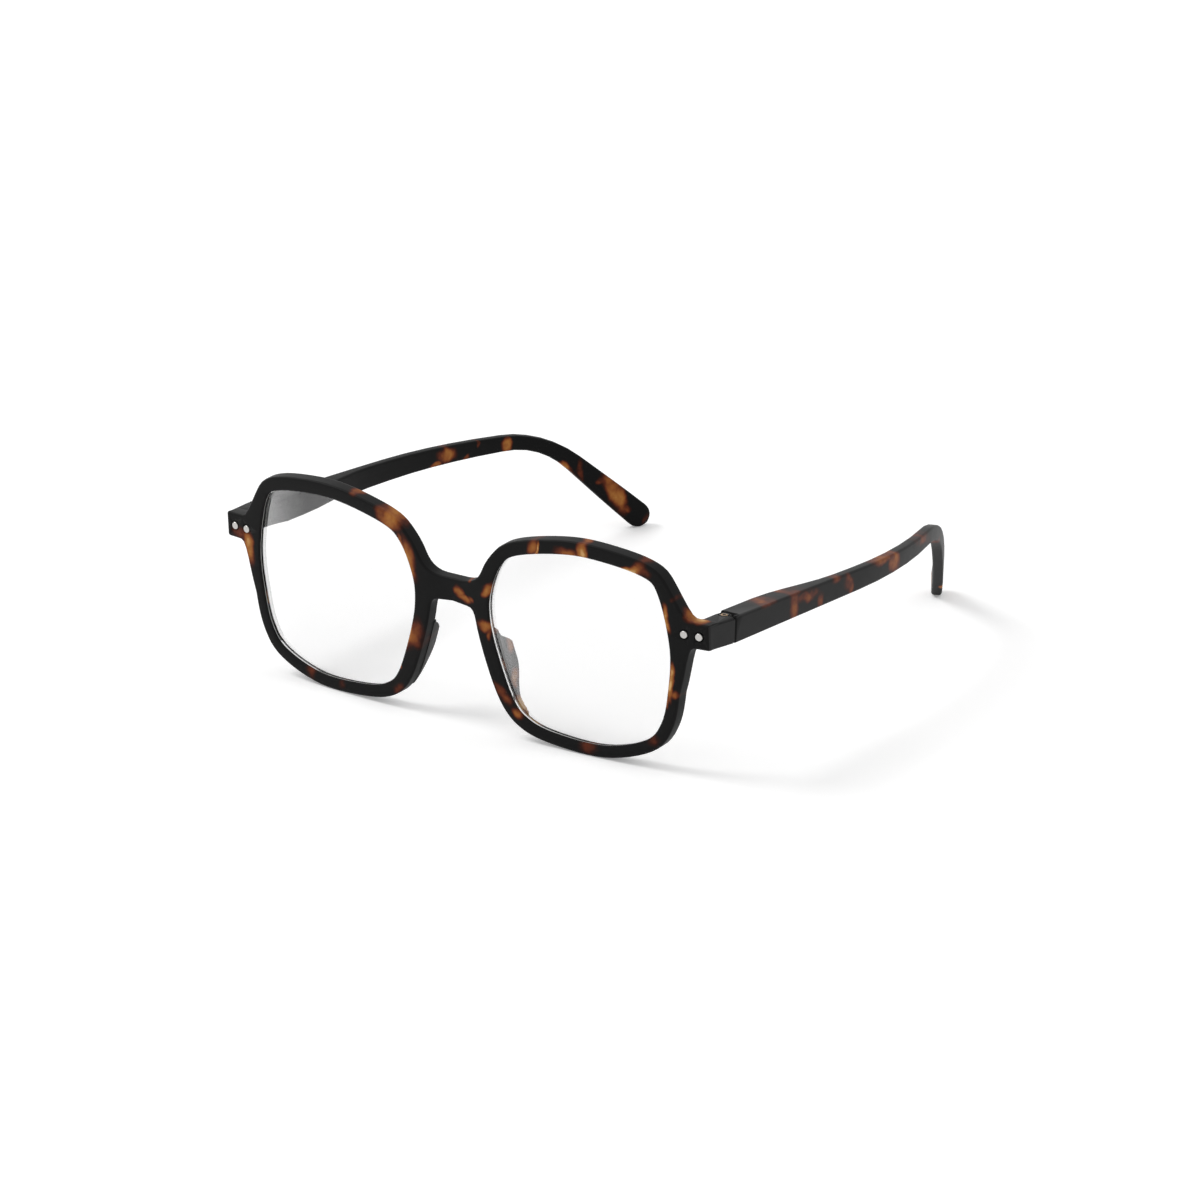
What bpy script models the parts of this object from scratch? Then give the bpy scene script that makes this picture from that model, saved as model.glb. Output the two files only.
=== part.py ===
"""Folding reading glasses: a moulded front with two lenses and two spring-hinged temples.

The glasses stand on the lower rims and the temple tips. The front faces -Y, the temples
run to +Y, and left and right are the wearer's, so the left side is at +X.
"""

import math

import bmesh
import bpy
from mathutils import Matrix, Vector
from mathutils.geometry import interpolate_bezier

for old in list(bpy.data.objects):
    bpy.data.objects.remove(old, do_unlink=True)

mm = 0.001

# Clearances and overlaps
seat_gap = 0.3 * mm
joint_gap = 0.3 * mm
union_overlap = 0.8 * mm
cutter_margin = 1.0 * mm

# Front, seen square on
front_depth = 3.9 * mm
front_edge_radius = 0.6 * mm
back_edge_radius = 0.7 * mm
front_wrap_radius = 570.0 * mm
front_lean = math.radians(2.9)
rim_width_low = 3.15 * mm
rim_width_outer_low = 3.1 * mm
rim_width_outer = 3.0 * mm
rim_width_outer_top = 3.4 * mm
rim_width_top = 3.5 * mm
rim_width_nose_top = 3.4 * mm
rim_width_nose = 4.4 * mm
rim_width_nose_low = 3.6 * mm

# Lens openings and lenses
lens_width = 49.4 * mm
lens_height = 47.0 * mm
lens_spacing = 21.8 * mm
lens_bevel_width = 0.5 * mm
lens_bevel_depth = 0.35 * mm
groove_depth = 0.8 * mm
groove_slope = 0.15 * mm
back_lip_inset = 0.3 * mm
back_flare = 1.6 * mm
flare_start = 0.6 * mm
flare_fade = 1.4 * mm
lens_edge_depth = 1.15 * mm
lens_edge_thickness = 0.9 * mm
lens_bulge = 1.0 * mm
lens_curve_steps = 6
# Outline of the opening in half widths and half heights, from the nose side over the top
lens_knots = (
    (-1.0, 0.2),
    (-0.96, 0.46),
    (-0.84, 0.73),
    (-0.66, 0.87),
    (-0.2, 0.98),
    (0.2, 1.0),
    (0.72, 0.92),
    (0.89, 0.75),
    (1.0, 0.2),
    (0.97, -0.27),
    (0.89, -0.62),
    (0.71, -0.84),
    (0.25, -0.99),
    (-0.3, -0.97),
    (-0.6, -0.88),
    (-0.77, -0.68),
    (-0.95, -0.14),
)

# Bridge and nose pads
bridge_height = 5.9 * mm
bridge_rise = 7.85 * mm
bridge_arch = 0.4 * mm
bridge_setback = 0.6 * mm
pad_depth = 4.05 * mm
pad_drop = 6.7 * mm
pad_length = 16.8 * mm
pad_top_length = 3.2 * mm
pad_foot_length = 10.0 * mm
pad_rings = 23
pad_end_share = 0.04
pad_flare = 0.2
pad_rounding = 0.7 * mm
pad_proud = 0.15 * mm

# End pieces and their rivets
end_reach = 10.7 * mm
end_height = 6.4 * mm
end_rise = 9.15 * mm
end_length = 9.5 * mm
end_splay = 1.0 * mm
end_edge_radius = 0.4 * mm
end_corner_radius = 0.6 * mm
end_step = 0.08 * mm
rivet_spacing = 3.9 * mm
rivet_edge_distance = 2.8 * mm
rivet_head_radius = 1.0 * mm
rivet_head_proud = 0.2 * mm
rivet_seat_depth = 0.35 * mm
rivet_shank_radius = 0.5 * mm
rivet_shank_length = 2.2 * mm

# Hinge
pantoscopic_angle = math.radians(5.8)
hinge_inset = 3.55 * mm
lug_radius = 2.1 * mm
eye_radius = 1.8 * mm
eye_height = 2.0 * mm
screw_radius = 0.6 * mm
screw_head_radius = 1.2 * mm
screw_head_height = 0.5 * mm
screw_slot_width = 0.35 * mm
screw_slot_depth = 0.25 * mm
screw_head_sink = 0.1 * mm
insert_wall = 0.45 * mm
insert_height = 1.0 * mm

# Spring cartridge in the temple
rod_radius = 0.5 * mm
spring_wire_radius = 0.15 * mm
spring_turns = 8
spring_pitch = 1.0 * mm
spring_points_per_turn = 9
collar_radius = 1.1 * mm
collar_length = 0.8 * mm
housing_wall = 0.4 * mm
housing_front_wall = 0.8 * mm
flex_travel = 1.2 * mm
pocket_step = 0.05 * mm

# Temples
temple_run = 96.0 * mm
temple_bend_radius = 37.0 * mm
temple_bend_angle = math.radians(39.6)
temple_bow_start = 53.0 * mm
temple_bow_radius = 144.0 * mm
temple_bend_height = 3.8 * mm
temple_tip_height = 6.7 * mm
temple_tip_rounding = 4.0 * mm
temple_thickness = 2.75 * mm
temple_inner_wall = 0.45 * mm
temple_taper_length = 30.0 * mm
temple_edge_radius = 0.6 * mm

# Places that follow from the sizes above
front_width = lens_spacing + 2 * (lens_width + end_reach)
lens_x = (lens_spacing + lens_width) / 2
lens_z = rim_width_low + lens_height / 2
bridge_z = lens_z + bridge_rise
end_z = lens_z + end_rise
pad_top_z = bridge_z - bridge_height / 2 - pad_drop
pad_foot_z = pad_top_z - pad_length
eye_bore_radius = screw_radius + seat_gap
insert_radius = eye_bore_radius + insert_wall
slot_half_height = eye_height / 2 + seat_gap
swing_radius = lug_radius + seat_gap
spring_radius = rod_radius + seat_gap + spring_wire_radius
housing_bore_radius = max(spring_radius + spring_wire_radius, collar_radius) + seat_gap
housing_half = housing_bore_radius + housing_wall
pocket_half = housing_half + seat_gap
pocket_start = swing_radius + pocket_step
housing_start = pocket_start + seat_gap
spring_start = housing_start + housing_front_wall + seat_gap + spring_wire_radius
spring_end = spring_start + spring_turns * spring_pitch
collar_start = spring_end + spring_wire_radius + seat_gap
rod_end = collar_start + collar_length + seat_gap
housing_end = rod_end + flex_travel + seat_gap
pocket_end = housing_end + seat_gap
temple_inner_x = -(pocket_half + temple_inner_wall)
temple_root_thickness = hinge_inset - temple_inner_x


def wrap(x):
    """How far back the curved front lies at a distance from the middle."""
    return x * x / (2 * front_wrap_radius)


end_x = front_width / 2
end_root_x = lens_x + lens_width / 2 + 1.8 * rim_width_outer
end_face_slope = end_x / front_wrap_radius
axis_x = end_x + end_splay - hinge_inset
axis_y = wrap(end_x) + end_length
axis_z = end_z - end_length * math.tan(pantoscopic_angle)

front_matrix = Matrix.Rotation(front_lean, 4, "X")
hinge_tilt = Matrix.Rotation(-pantoscopic_angle, 4, "X")
hinge_in_front = Matrix.Translation((axis_x, axis_y, axis_z)) @ hinge_tilt


def mixed(a, b, share):
    return a + (b - a) * share


def smooth_step(share):
    share = min(max(share, 0.0), 1.0)
    return share * share * (3 - 2 * share)


def closed_curve(knots, steps):
    """A smooth closed curve through the knots, with a few points on each span."""
    count = len(knots)
    line = []
    for i, start in enumerate(knots):
        end = knots[(i + 1) % count]
        leave = start + (end - knots[i - 1]) / 6
        arrive = end - (knots[(i + 2) % count] - start) / 6
        line += interpolate_bezier(start, leave, arrive, end, steps + 1)[:-1]
    return line


def blend(start, leave, arrive, end, steps=7):
    """The points between two stretches of an outline, along a Bezier curve."""
    return interpolate_bezier(Vector(start), Vector(leave), Vector(arrive), Vector(end), steps)[1:-1]


def normals(line):
    """Outward directions at the points of a closed line that runs clockwise, seen from the front."""
    found = []
    for i in range(len(line)):
        along = (line[(i + 1) % len(line)] - line[i - 1]).normalized()
        found.append(Vector((-along.y, along.x)))
    return found


def grown(line, distance):
    """The line moved outwards by a distance, which may depend on the direction."""
    reach = distance if callable(distance) else lambda normal: distance
    return [point + normal * reach(normal) for point, normal in zip(line, normals(line))]


def placed(line, depth):
    """A flat line of (x, z) points, put at a depth behind the front face."""
    return [Vector((point.x, depth, point.y)) for point in line]


def loft(rings):
    """A closed solid whose skin runs through rings of equally many points."""
    shape = bmesh.new()
    rows = [[shape.verts.new(point) for point in ring] for ring in rings]
    for near, far in zip(rows, rows[1:]):
        for i in range(len(near)):
            shape.faces.new((near[i - 1], near[i], far[i], far[i - 1]))
    shape.faces.new(rows[0])
    shape.faces.new(rows[-1])
    bmesh.ops.recalc_face_normals(shape, faces=shape.faces)
    return shape


def cylinder(radius, start, end, axis="Z", sides=24):
    """A round bar between two heights along an axis, or a cone when radius is a pair."""
    first, last = radius if isinstance(radius, tuple) else (radius, radius)
    rings = []
    for level, size in ((start, first), (end, last)):
        ring = []
        for i in range(sides):
            turn = 2 * math.pi * i / sides
            across, up = size * math.cos(turn), size * math.sin(turn)
            ring.append(Vector((across, up, level)) if axis == "Z" else Vector((across, level, up)))
        rings.append(ring)
    return loft(rings)


def box(low, high):
    """A block between two opposite corners."""
    rings = []
    for z in (low[2], high[2]):
        corners = ((low[0], low[1]), (high[0], low[1]), (high[0], high[1]), (low[0], high[1]))
        rings.append([Vector((x, y, z)) for x, y in corners])
    return loft(rings)


def moved(shape, matrix):
    shape.transform(matrix)
    return shape


def mirrored(shape):
    """The shape for the other side of the face."""
    bmesh.ops.scale(shape, vec=(-1, 1, 1), verts=shape.verts)
    bmesh.ops.reverse_faces(shape, faces=shape.faces)
    return shape


def object_of(shape, name):
    mesh = bpy.data.meshes.new(name)
    shape.to_mesh(mesh)
    shape.free()
    made = bpy.data.objects.new(name, mesh)
    bpy.context.scene.collection.objects.link(made)
    return made


def combined(base, steps):
    """The base after a list of (operation, shape) Boolean steps."""
    body = object_of(base, "body")
    tools = []
    for operation, shape in steps:
        tools.append(object_of(shape, "tool"))
        modifier = body.modifiers.new(operation, "BOOLEAN")
        modifier.operation = operation
        modifier.object = tools[-1]
    result = bmesh.new()
    result.from_object(body, bpy.context.evaluated_depsgraph_get())
    for used in (body, *tools):
        bpy.data.objects.remove(used, do_unlink=True)
    return result


def finish(name, colour, roughness, metallic=0.0, transmission=0.0):
    """A plain material for one kind of piece."""
    material = bpy.data.materials.new(name)
    material.use_nodes = True
    shader = material.node_tree.nodes["Principled BSDF"]
    shader.inputs["Base Color"].default_value = (*colour, 1)
    shader.inputs["Roughness"].default_value = roughness
    shader.inputs["Metallic"].default_value = metallic
    shader.inputs["Transmission Weight"].default_value = transmission
    return material


tortoise = finish("tortoise_plastic", (0.025, 0.022, 0.02), 0.5)
clear_lens = finish("clear_lens", (0.95, 0.96, 0.96), 0.03, transmission=1.0)
satin_silver = finish("satin_silver", (0.62, 0.61, 0.58), 0.32, metallic=1.0)
steel = finish("hinge_steel", (0.5, 0.5, 0.5), 0.35, metallic=1.0)
brass = finish("brass_insert", (0.6, 0.42, 0.16), 0.35, metallic=1.0)


def empty(name, parent, matrix):
    made = bpy.data.objects.new(name, None)
    bpy.context.scene.collection.objects.link(made)
    made.empty_display_size = 5 * mm
    made.parent = parent
    made.matrix_local = matrix
    return made


def piece(name, shape, material, parent):
    """A finished sub-part, shaded smooth except at its hard edges."""
    made = object_of(shape, name)
    made.data.materials.append(material)
    made.data.shade_smooth()
    made.data.set_sharp_from_angle(angle=math.radians(35))
    made.parent = parent
    return made


# Lens openings and rims


def lens_outline():
    """The left lens opening as (x, z) points."""
    centre = Vector((lens_x, lens_z))
    knots = [Vector((u * lens_width / 2, w * lens_height / 2)) for u, w in lens_knots]
    return [centre + point for point in closed_curve(knots, lens_curve_steps)]


def rim_reach(normal):
    """The rim's width in a direction, with a smooth change between the eight named widths."""
    widths = (
        rim_width_outer,
        rim_width_outer_top,
        rim_width_top,
        rim_width_nose_top,
        rim_width_nose,
        rim_width_nose_low,
        rim_width_low,
        rim_width_outer_low,
    )
    turn = math.atan2(normal.y, normal.x) / (2 * math.pi) * len(widths)
    place = math.floor(turn)
    return mixed(widths[place % 8], widths[(place + 1) % 8], smooth_step(turn - place))


def end_share(x):
    """Nothing on the rim and one on the end piece, with a smooth change between."""
    return smooth_step((abs(x) - end_root_x) / end_corner_radius)


def front_outline():
    """The outer edge of the front as (x, z) points, clockwise from the middle of the bridge."""
    rim = grown(lens_outline(), rim_reach)
    bridge_top = bridge_z + bridge_height / 2
    bridge_low = bridge_z - bridge_height / 2
    end_top = end_z + end_height / 2
    end_low = end_z - end_height / 2
    nose_side = [p.x < lens_x for p in rim]
    top_limits = (end_top + 3.0 * rim_width_outer_top, bridge_top + rim_width_nose_top)
    low_limits = (end_low - 4 * rim_width_outer, bridge_low - 1.5 * rim_width_nose)
    above = [p for p, nose in zip(rim, nose_side) if p.y > top_limits[nose]]
    below = [p for p, nose in zip(rim, nose_side) if p.y < low_limits[nose]]
    nose_top, crown_end, foot_start, nose_foot = above[0], above[-1], below[0], below[-1]
    half = [Vector((0, bridge_top)), Vector((nose_top.x / 3, bridge_top))]
    half += blend(half[-1], (nose_top.x * 0.75, bridge_top), mixed(nose_top, above[1], -1.2), nose_top)
    half += above
    root_top = Vector((end_root_x, end_top))
    root_low = Vector((end_root_x + 0.3 * rim_width_outer, end_low))
    root_reach = Vector((0.9 * rim_width_outer, 0))
    half += blend(crown_end, mixed(crown_end, above[-2], -1.4), root_top - root_reach * 0.6, root_top)
    half.append(root_top)
    for turn in (90, 45, 0):
        half.append(end_corner(end_top - end_corner_radius, turn))
    for turn in (0, -45, -90):
        half.append(end_corner(end_low + end_corner_radius, turn))
    half.append(root_low)
    half += blend(root_low, root_low - root_reach * 0.65, mixed(foot_start, root_low, 0.45), foot_start)
    half += below
    arch_end = Vector((nose_foot.x * 0.55, bridge_low - bridge_arch))
    half += blend(
        nose_foot,
        mixed(nose_foot, below[-2], -2.5),
        mixed(arch_end, Vector((nose_foot.x, arch_end.y)), 0.8),
        arch_end,
    )
    half += [arch_end, Vector((0, bridge_low))]
    return half + [Vector((-p.x, p.y)) for p in reversed(half[1:-1])]


def end_corner(centre_z, turn):
    """A point on a rounded corner of the end piece, seen from the front."""
    angle = math.radians(turn)
    x = end_x - end_corner_radius * (1 - math.cos(angle))
    return Vector((x, centre_z + end_corner_radius * math.sin(angle)))


def edge_rounding(radius):
    """Depth and inset of the rings that round an edge, from the face to the side."""
    sweeps = [math.radians(turn) for turn in (0, 30, 60, 90)]
    return [(radius * (1 - math.cos(sweep)), radius * (1 - math.sin(sweep))) for sweep in sweeps]


def rounded_plate(outline):
    """The front before its openings are cut, with rounded edges and end pieces that fall to the temples."""
    rings = [placed(grown(outline, -inset), depth) for depth, inset in edge_rounding(front_edge_radius)]
    for depth, inset in reversed(edge_rounding(back_edge_radius)):
        ring = placed(grown(outline, -inset), front_depth - depth)
        full = placed(outline, front_depth - depth)
        rings.append([mixed(point, square, end_share(square.x)) for point, square in zip(ring, full)])
    for ring in rings:
        for point in ring:
            point.z -= point.y * math.tan(pantoscopic_angle) * end_share(point.x)
    return loft(rings)


def faceted(shape):
    """A shape whose bent faces are split into flat triangles."""
    bmesh.ops.triangulate(shape, faces=shape.faces[:])
    return shape


def flare_share(point):
    """How much of the back flare a point of the opening gets: none beside the nose pad."""
    if point.x > lens_x:
        return 1.0
    beyond_pad = max(point.y - pad_top_z, pad_foot_z - point.y)
    return smooth_step((beyond_pad - flare_start) / flare_fade)


def lens_opening():
    """The space cut for a lens: a chamfered mouth, a groove, and a back that flares behind a low lip."""
    outline = lens_outline()
    groove_front = lens_edge_depth - seat_gap
    groove_back = lens_edge_depth + lens_edge_thickness + seat_gap
    lip = groove_back + groove_slope
    steps = (
        (-lens_bevel_depth, 2 * lens_bevel_width),
        (lens_bevel_depth, 0),
        (groove_front - groove_slope, 0),
        (groove_front, groove_depth),
        (groove_back, groove_depth),
        (lip, back_lip_inset),
    )
    rings = [placed(grown(outline, grow), depth) for depth, grow in steps]
    end = front_depth + cutter_margin
    spread = back_flare * (end - lip) / (front_depth - lip)
    flared = []
    for point, normal in zip(outline, normals(outline)):
        flared.append(point + normal * (back_lip_inset + spread * flare_share(point)))
    return faceted(loft(rings + [placed(flared, end)]))


def nose_pad():
    """The ridge behind the nose side of a rim, which rests on the nose and fades out at both ends."""
    opening = lens_outline()
    inner = grown(opening, back_lip_inset + pad_proud)
    outer = grown(opening, lambda normal: rim_reach(normal) + pad_proud)
    half = len(opening) // 2
    pairs = list(zip(inner, outer))
    nose_side = [pair for pair in pairs[half:] + pairs[:half] if pair[0].x < lens_x]
    root = front_depth - union_overlap
    rings = []
    for count in range(pad_rings):
        z = mixed(pad_foot_z, pad_top_z, count / (pad_rings - 1))
        low, high = next(pair for pair in zip(nose_side, nose_side[1:]) if pair[0][0].y <= z < pair[1][0].y)
        share = (z - low[0].y) / (high[0].y - low[0].y)
        inside, outside = [mixed(a, b, share) for a, b in zip(low, high)]
        from_foot = smooth_step((z - pad_foot_z) / pad_foot_length)
        from_top = smooth_step((pad_top_z - z) / pad_top_length)
        swell = max(from_foot * from_top, pad_end_share)
        back = front_depth + pad_depth * swell
        edge = pad_rounding * swell
        across = (outside - inside).normalized()
        section = (
            (inside, root),
            (inside, back - edge),
            (inside + across * edge, back),
            (outside - across * edge, back),
            (outside, back - edge),
            (outside, root),
        )
        rings.append([Vector((p.x + pad_flare * (depth - root), depth, p.y)) for p, depth in section])
    return faceted(loft(rings))


def wrap_front(shape):
    """Bends the flat front round the face and sets the bridge back a little."""
    bmesh.ops.triangulate(shape, faces=shape.faces)
    reach = lens_spacing / 2
    for vertex in shape.verts:
        x, y, z = vertex.co
        hollow = max(0.0, 1 - (x / reach) ** 2) ** 2
        vertex.co.y += wrap(x) + bridge_setback * hollow * max(0.0, 1 - y / front_depth)
    return shape


# End pieces, in the frame of the hinge: x outwards, y along the temple, z along the screw


def end_block():
    """The block that runs back from the front to the temple, behind the end of the front."""
    outer_x = end_x - end_step - axis_x
    fillet = lug_radius / 2
    inner_x = -lug_radius - fillet
    face_inner = -end_length - end_face_slope * (outer_x - inner_x)
    plan = (
        (inner_x, face_inner + front_depth / 3, True),
        (outer_x, -end_length + front_depth / 3, True),
        (hinge_inset, -joint_gap / 2, False),
        (-lug_radius, -joint_gap / 2, False),
        (-lug_radius, face_inner + front_depth + fillet, True),
        (inner_x, face_inner + front_depth - union_overlap, True),
    )
    rings = []
    half = end_height / 2 - end_step
    for z in (-half, half):
        slant = z * math.tan(pantoscopic_angle)
        rings.append([Vector((x, y - slant if on_front else y, z)) for x, y, on_front in plan])
    shape = loft(rings)
    bmesh.ops.bevel(
        shape, geom=shape.edges[:], offset=end_edge_radius, segments=2, affect="EDGES", clamp_overlap=True
    )
    return shape


def hinge_lug():
    """The round knuckle at the back of the end piece, before it is slotted."""
    half = end_height / 2 - 2 * end_step
    shape = cylinder(lug_radius, -half, half, sides=28)
    rims = [edge for edge in shape.edges if abs(edge.verts[0].co.z - edge.verts[1].co.z) < 1e-6]
    bmesh.ops.bevel(shape, geom=rims, offset=end_edge_radius, segments=2, affect="EDGES")
    return shape


def hinge_cuts():
    """What is cut from the end piece: the eye's slot, the screw's bore and the seats in it."""
    top, low = end_height / 2, -end_height / 2
    head_seat = top - screw_head_sink - screw_head_height - seat_gap
    insert_seat = low + screw_head_sink + insert_height + seat_gap
    return (
        box(
            (-2 * lug_radius, -swing_radius, -slot_half_height),
            (swing_radius, 2 * lug_radius, slot_half_height),
        ),
        cylinder(eye_bore_radius, low - cutter_margin, top + cutter_margin),
        cylinder(screw_head_radius + seat_gap, head_seat, top + cutter_margin),
        cylinder(insert_radius + seat_gap, low - cutter_margin, insert_seat),
    )


def rivet_frame(place):
    """The frame of a rivet on an end piece, with y running into the plastic. Place 0 is the outer one."""
    x = end_x - rivet_edge_distance - place * rivet_spacing
    slope = math.atan(x / front_wrap_radius)
    return Matrix.Translation((x, wrap(x), end_z)) @ Matrix.Rotation(slope, 4, "Z")


def rivet_seat():
    """The hole for a rivet, with a shallow ring for its head."""
    ring = cylinder(rivet_head_radius + seat_gap, -cutter_margin, rivet_seat_depth, axis="Y", sides=20)
    shank_end = rivet_seat_depth + rivet_shank_length + seat_gap
    bore = cylinder(rivet_shank_radius + seat_gap, -cutter_margin, shank_end, axis="Y", sides=16)
    return ring, bore


def front_frame():
    opening = lens_opening()
    pad = nose_pad()
    steps = [("UNION", pad.copy()), ("UNION", mirrored(pad))]
    steps += [("DIFFERENCE", opening.copy()), ("DIFFERENCE", mirrored(opening))]
    shape = wrap_front(combined(rounded_plate(front_outline()), steps))
    joins, cuts = [], []
    for turned in (lambda part: part, mirrored):
        joins += [turned(moved(part, hinge_in_front)) for part in (end_block(), hinge_lug())]
        cuts += [turned(moved(part, hinge_in_front)) for part in hinge_cuts()]
        for place in (0, 1):
            cuts += [turned(moved(part, rivet_frame(place))) for part in rivet_seat()]
    steps = [("UNION", part) for part in joins]
    steps += [("DIFFERENCE", part) for part in cuts]
    return combined(shape, steps)


def lens():
    """A reading lens: a rim that sits in the groove, and two curved faces."""
    outline = lens_outline()
    centre = Vector((lens_x, lens_z))
    front, back = lens_edge_depth, lens_edge_depth + lens_edge_thickness
    rings = []
    shares = (0.0, 0.35, 0.7, 1.0)
    edge = grown(outline, groove_depth - seat_gap)
    for face, rise in ((front, lens_bulge), (back, lens_bulge / 2)):
        side = []
        for share in shares:
            size = max(share, 0.02)
            depth = face - rise * (1 - size * size)
            side.append(placed([centre + (point - centre) * size for point in edge], depth))
        rings.append(side)
    shape = loft(rings[0] + rings[1][::-1])
    for vertex in shape.verts:
        vertex.co.y += wrap(vertex.co.x)
    return shape


def rivet():
    """A decorative stud with a low domed head and a shank."""
    dome = rivet_head_proud + rivet_seat_depth - seat_gap
    rings = []
    profile = (
        (0.35, -rivet_head_proud),
        (0.75, -rivet_head_proud + 0.12 * dome),
        (1.0, -rivet_head_proud + 0.45 * dome),
        (1.0, rivet_seat_depth - seat_gap),
    )
    shank_end = rivet_seat_depth + rivet_shank_length
    steps = [(share * rivet_head_radius, depth) for share, depth in profile]
    steps += [(rivet_shank_radius, rivet_seat_depth - seat_gap), (rivet_shank_radius, shank_end)]
    for radius, depth in steps:
        turns = [2 * math.pi * i / 20 for i in range(20)]
        rings.append([Vector((radius * math.cos(t), depth, radius * math.sin(t))) for t in turns])
    return loft(rings)


# Hinge and spring pieces


def hinge_screw():
    """A slotted screw that holds the eye between the lugs and ends in the insert."""
    top, low = end_height / 2 - screw_head_sink, -end_height / 2 + screw_head_sink
    head_low = top - screw_head_height
    shape = cylinder(screw_head_radius, head_low, top, sides=20)
    shaft = cylinder(screw_radius, low, head_low + screw_head_height / 2, sides=16)
    reach = 2 * screw_head_radius
    slot = box(
        (-reach, -screw_slot_width / 2, top - screw_slot_depth),
        (reach, screw_slot_width / 2, top + cutter_margin),
    )
    return combined(shape, [("UNION", shaft), ("DIFFERENCE", slot)])


def screw_insert():
    """The threaded sleeve in the lower lug."""
    low = -end_height / 2 + screw_head_sink
    bore = cylinder(eye_bore_radius, low - cutter_margin, low + insert_height + cutter_margin, sides=20)
    return combined(cylinder(insert_radius, low, low + insert_height, sides=20), [("DIFFERENCE", bore)])


def spring_eye():
    """The eye that turns on the screw, with the rod that runs into the temple."""
    ring = cylinder(eye_radius, -eye_height / 2, eye_height / 2)
    rod = cylinder(rod_radius, (eye_bore_radius + eye_radius) / 2, rod_end, axis="Y", sides=12)
    bore = cylinder(eye_bore_radius, -eye_height, eye_height, sides=20)
    return combined(ring, [("UNION", rod), ("DIFFERENCE", bore)])


def spring_collar():
    """The stop at the end of the rod, which the spring pushes on."""
    hole = rod_radius + seat_gap
    bore = cylinder(hole, collar_start - cutter_margin, rod_end + cutter_margin, axis="Y", sides=16)
    body = cylinder(collar_radius, collar_start, collar_start + collar_length, axis="Y", sides=16)
    return combined(body, [("DIFFERENCE", bore)])


def spring_housing():
    """The square sleeve that carries the spring in the temple's pocket."""
    half = housing_half
    body = box((-half, housing_start, -half), (half, housing_end, half))
    along = [edge for edge in body.edges if abs(edge.verts[0].co.y - edge.verts[1].co.y) > housing_half]
    bmesh.ops.bevel(body, geom=along, offset=housing_wall, segments=2, affect="EDGES")
    inside = housing_start + housing_front_wall
    bore = cylinder(housing_bore_radius, inside, housing_end + cutter_margin, axis="Y")
    hole = rod_radius + seat_gap
    rod_hole = cylinder(hole, housing_start - cutter_margin, inside + cutter_margin, axis="Y", sides=16)
    return combined(body, [("DIFFERENCE", bore), ("DIFFERENCE", rod_hole)])


def flex_spring(name, parent, side):
    """A compression spring wound round the rod, as one unbroken tube."""
    count = spring_turns * spring_points_per_turn
    points = []
    for i in range(count + 1):
        turn = 2 * math.pi * i / spring_points_per_turn
        along = spring_start + spring_pitch * i / spring_points_per_turn
        points.append(Vector((side * spring_radius * math.cos(turn), along, spring_radius * math.sin(turn))))
    gaps = [
        (points[j] - points[i]).length - 2 * spring_wire_radius
        for i in range(count + 1)
        for j in range(i + spring_points_per_turn // 2, count + 1)
    ]
    print(f"{name}: least gap between curls {min(gaps) / mm:.2f} mm")
    curve = bpy.data.curves.new(name, "CURVE")
    curve.dimensions = "3D"
    curve.bevel_depth = spring_wire_radius
    curve.bevel_resolution = 1
    curve.use_fill_caps = True
    spline = curve.splines.new("POLY")
    spline.points.add(count)
    for target, point in zip(spline.points, points):
        target.co = (*point, 1)
    made = bpy.data.objects.new(name, curve)
    curve.materials.append(steel)
    bpy.context.scene.collection.objects.link(made)
    made.parent = parent
    return made


# Temples, in the frame of the hinge


bend_end = temple_run + temple_bend_radius * temple_bend_angle
shallowest = temple_run + temple_bend_radius * temple_bend_angle / 3


def temple_height(along, length):
    """The temple's height, which falls to the ear bend and grows again to the tip."""
    if along < shallowest:
        return mixed(end_height, temple_bend_height, (along / shallowest) ** 1.5)
    past = (along - shallowest) / (length - shallowest)
    return mixed(temple_bend_height, temple_tip_height, smooth_step(past))


def temple_side_path(along):
    """Distance, height and downward angle of the temple's path at a length along it, laid out flat."""
    if along <= temple_run:
        return along, 0.0, 0.0
    turn = min((along - temple_run) / temple_bend_radius, temple_bend_angle)
    past = along - temple_run - temple_bend_radius * turn
    distance = temple_run + temple_bend_radius * math.sin(turn) + past * math.cos(turn)
    drop = temple_bend_radius * (1 - math.cos(turn)) + past * math.sin(turn)
    return distance, -drop, turn


def temple_thickness_at(along):
    """Thick over the spring cartridge, then thin enough to flex."""
    share = smooth_step((along - pocket_end) / temple_taper_length)
    return mixed(temple_root_thickness, temple_thickness, share)


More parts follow.
